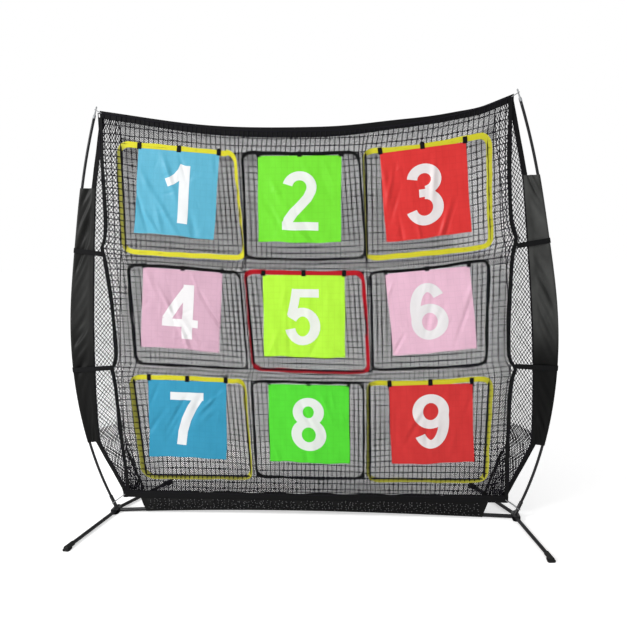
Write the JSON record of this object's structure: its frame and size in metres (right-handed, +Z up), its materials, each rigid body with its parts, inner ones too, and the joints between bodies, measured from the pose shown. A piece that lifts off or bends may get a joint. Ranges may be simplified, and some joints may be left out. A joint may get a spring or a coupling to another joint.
{
  "type": "nine-pocket practice net",
  "caption": "Free-standing practice net on a folding bow frame, with numbered cloth flags hung in netted pocket holes and a bagged backstop net behind.",
  "frame": {"origin": "on the ground under the middle of the whole part: midway between the two hubs and midway between the front and rear feet", "axes": "+X to the right along the crossbar as the player sees it, +Z up, the player stands on the -Y side"},
  "size_m": [2.5302, 0.932, 2.1555],
  "materials": {
    "black_steel": "satin black powder coat",
    "black_rubber": "matt black",
    "black_fibreglass": "smooth black glass fibre rod",
    "grey_plastic": "light grey moulding",
    "black_webbing": "woven black webbing",
    "black_netting": "knotless black netting",
    "black_cloth": "thin black coated cloth, slight sheen",
    "grey_elastic": "light grey elastic cord",
    "yellow_ribbon": "woven yellow ribbon",
    "black_ribbon": "woven black ribbon",
    "red_ribbon": "woven dark red ribbon",
    "cloth_sky": "thin sky blue taffeta, slight sheen",
    "cloth_green": "thin green taffeta, slight sheen",
    "cloth_red": "thin red taffeta, slight sheen",
    "cloth_pink": "thin pink taffeta, slight sheen",
    "cloth_lime": "thin yellow green taffeta, slight sheen",
    "cloth_blush": "thin pale pink taffeta, slight sheen",
    "cloth_blue": "thin blue taffeta, slight sheen"
  },
  "bodies": {
    "frame": {"crossbar_right": "black_steel", "crossbar_left": "black_steel", "hub_left": "black_steel", "hub_right": "black_steel", "pole_left": "black_fibreglass", "pole_tip_left": "grey_plastic", "pole_right": "black_fibreglass", "pole_tip_right": "grey_plastic", "top_band": "black_webbing", "target_net": "black_netting", "backstop_net": "black_netting", "pocket_1": "black_netting", "trim_1": "yellow_ribbon", "pocket_2": "black_netting", "trim_2": "black_ribbon", "pocket_3": "black_netting", "trim_3": "yellow_ribbon", "pocket_4": "black_netting", "trim_4": "black_ribbon", "pocket_5": "black_netting", "trim_5": "red_ribbon", "pocket_6": "black_netting", "trim_6": "black_ribbon", "pocket_7": "black_netting", "trim_7": "yellow_ribbon", "pocket_8": "black_netting", "trim_8": "black_ribbon", "pocket_9": "black_netting", "trim_9": "yellow_ribbon", "crossbar_sleeve": "black_webbing", "wing_left": "black_cloth", "strap_upper_left": "black_webbing", "strap_lower_left": "black_webbing", "corner_tape_left": "black_webbing", "elastic_top_left": "grey_elastic", "elastic_bottom_left": "grey_elastic", "wing_right": "black_cloth", "strap_upper_right": "black_webbing", "strap_lower_right": "black_webbing", "corner_tape_right": "black_webbing", "elastic_top_right": "grey_elastic", "elastic_bottom_right": "grey_elastic"},
    "leg_front_left": {"leg_front_left": "black_steel", "foot_front_left": "black_rubber"},
    "leg_rear_left": {"leg_rear_left": "black_steel", "foot_rear_left": "black_rubber"},
    "leg_front_right": {"leg_front_right": "black_steel", "foot_front_right": "black_rubber"},
    "leg_rear_right": {"leg_rear_right": "black_steel", "foot_rear_right": "black_rubber"},
    "flag_1": {"flag_1": "cloth_sky"},
    "flag_2": {"flag_2": "cloth_green"},
    "flag_3": {"flag_3": "cloth_red"},
    "flag_4": {"flag_4": "cloth_pink"},
    "flag_5": {"flag_5": "cloth_lime"},
    "flag_6": {"flag_6": "cloth_blush"},
    "flag_7": {"flag_7": "cloth_blue"},
    "flag_8": {"flag_8": "cloth_green"},
    "flag_9": {"flag_9": "cloth_red"}
  },
  "joints": [
    {"name": "fold_front_left", "type": "hinge", "parent": "frame", "child": "leg_front_left", "pos_m": [-1.065, -0.01326, 0.0133], "axis": [0, 0, 1], "range_deg": [0, 92]},
    {"name": "fold_rear_left", "type": "hinge", "parent": "frame", "child": "leg_rear_left", "pos_m": [-1.065, 0.03874, 0.0133], "axis": [0, 0, 1], "range_deg": [-61, 0]},
    {"name": "fold_front_right", "type": "hinge", "parent": "frame", "child": "leg_front_right", "pos_m": [1.065, -0.01326, 0.0133], "axis": [0, 0, 1], "range_deg": [-92, 0]},
    {"name": "fold_rear_right", "type": "hinge", "parent": "frame", "child": "leg_rear_right", "pos_m": [1.065, 0.03874, 0.0133], "axis": [0, 0, 1], "range_deg": [0, 61]},
    {"name": "swing_flag_1", "type": "hinge", "parent": "frame", "child": "flag_1", "pos_m": [-0.63754, 0.00454, 1.9169], "axis": [0.9935, 0, -0.1142], "range_deg": [-85, 20]},
    {"name": "swing_flag_2", "type": "hinge", "parent": "frame", "child": "flag_2", "pos_m": [-0.01312, 0.00454, 1.87299], "axis": [0.9997, 0, -0.0262], "range_deg": [-85, 20]},
    {"name": "swing_flag_3", "type": "hinge", "parent": "frame", "child": "flag_3", "pos_m": [0.59845, 0.00454, 1.89093], "axis": [0.9954, 0, 0.0955], "range_deg": [-85, 20]},
    {"name": "swing_flag_4", "type": "hinge", "parent": "frame", "child": "flag_4", "pos_m": [-0.64441, 0.00454, 1.31521], "axis": [0.9961, 0, -0.0877], "range_deg": [-85, 20]},
    {"name": "swing_flag_5", "type": "hinge", "parent": "frame", "child": "flag_5", "pos_m": [-0.00812, 0.00454, 1.2756], "axis": [0.9997, 0, -0.0258], "range_deg": [-85, 20]},
    {"name": "swing_flag_6", "type": "hinge", "parent": "frame", "child": "flag_6", "pos_m": [0.61737, 0.00454, 1.29128], "axis": [0.997, 0, 0.0777], "range_deg": [-85, 20]},
    {"name": "swing_flag_7", "type": "hinge", "parent": "frame", "child": "flag_7", "pos_m": [-0.63538, 0.00454, 0.72891], "axis": [0.9992, 0, -0.04], "range_deg": [-85, 20]},
    {"name": "swing_flag_8", "type": "hinge", "parent": "frame", "child": "flag_8", "pos_m": [0.01287, 0.00454, 0.70678], "axis": [0.9997, 0, -0.024], "range_deg": [-85, 20]},
    {"name": "swing_flag_9", "type": "hinge", "parent": "frame", "child": "flag_9", "pos_m": [0.63135, 0.00454, 0.70711], "axis": [0.9995, 0, 0.0332], "range_deg": [-85, 20]}
  ]
}
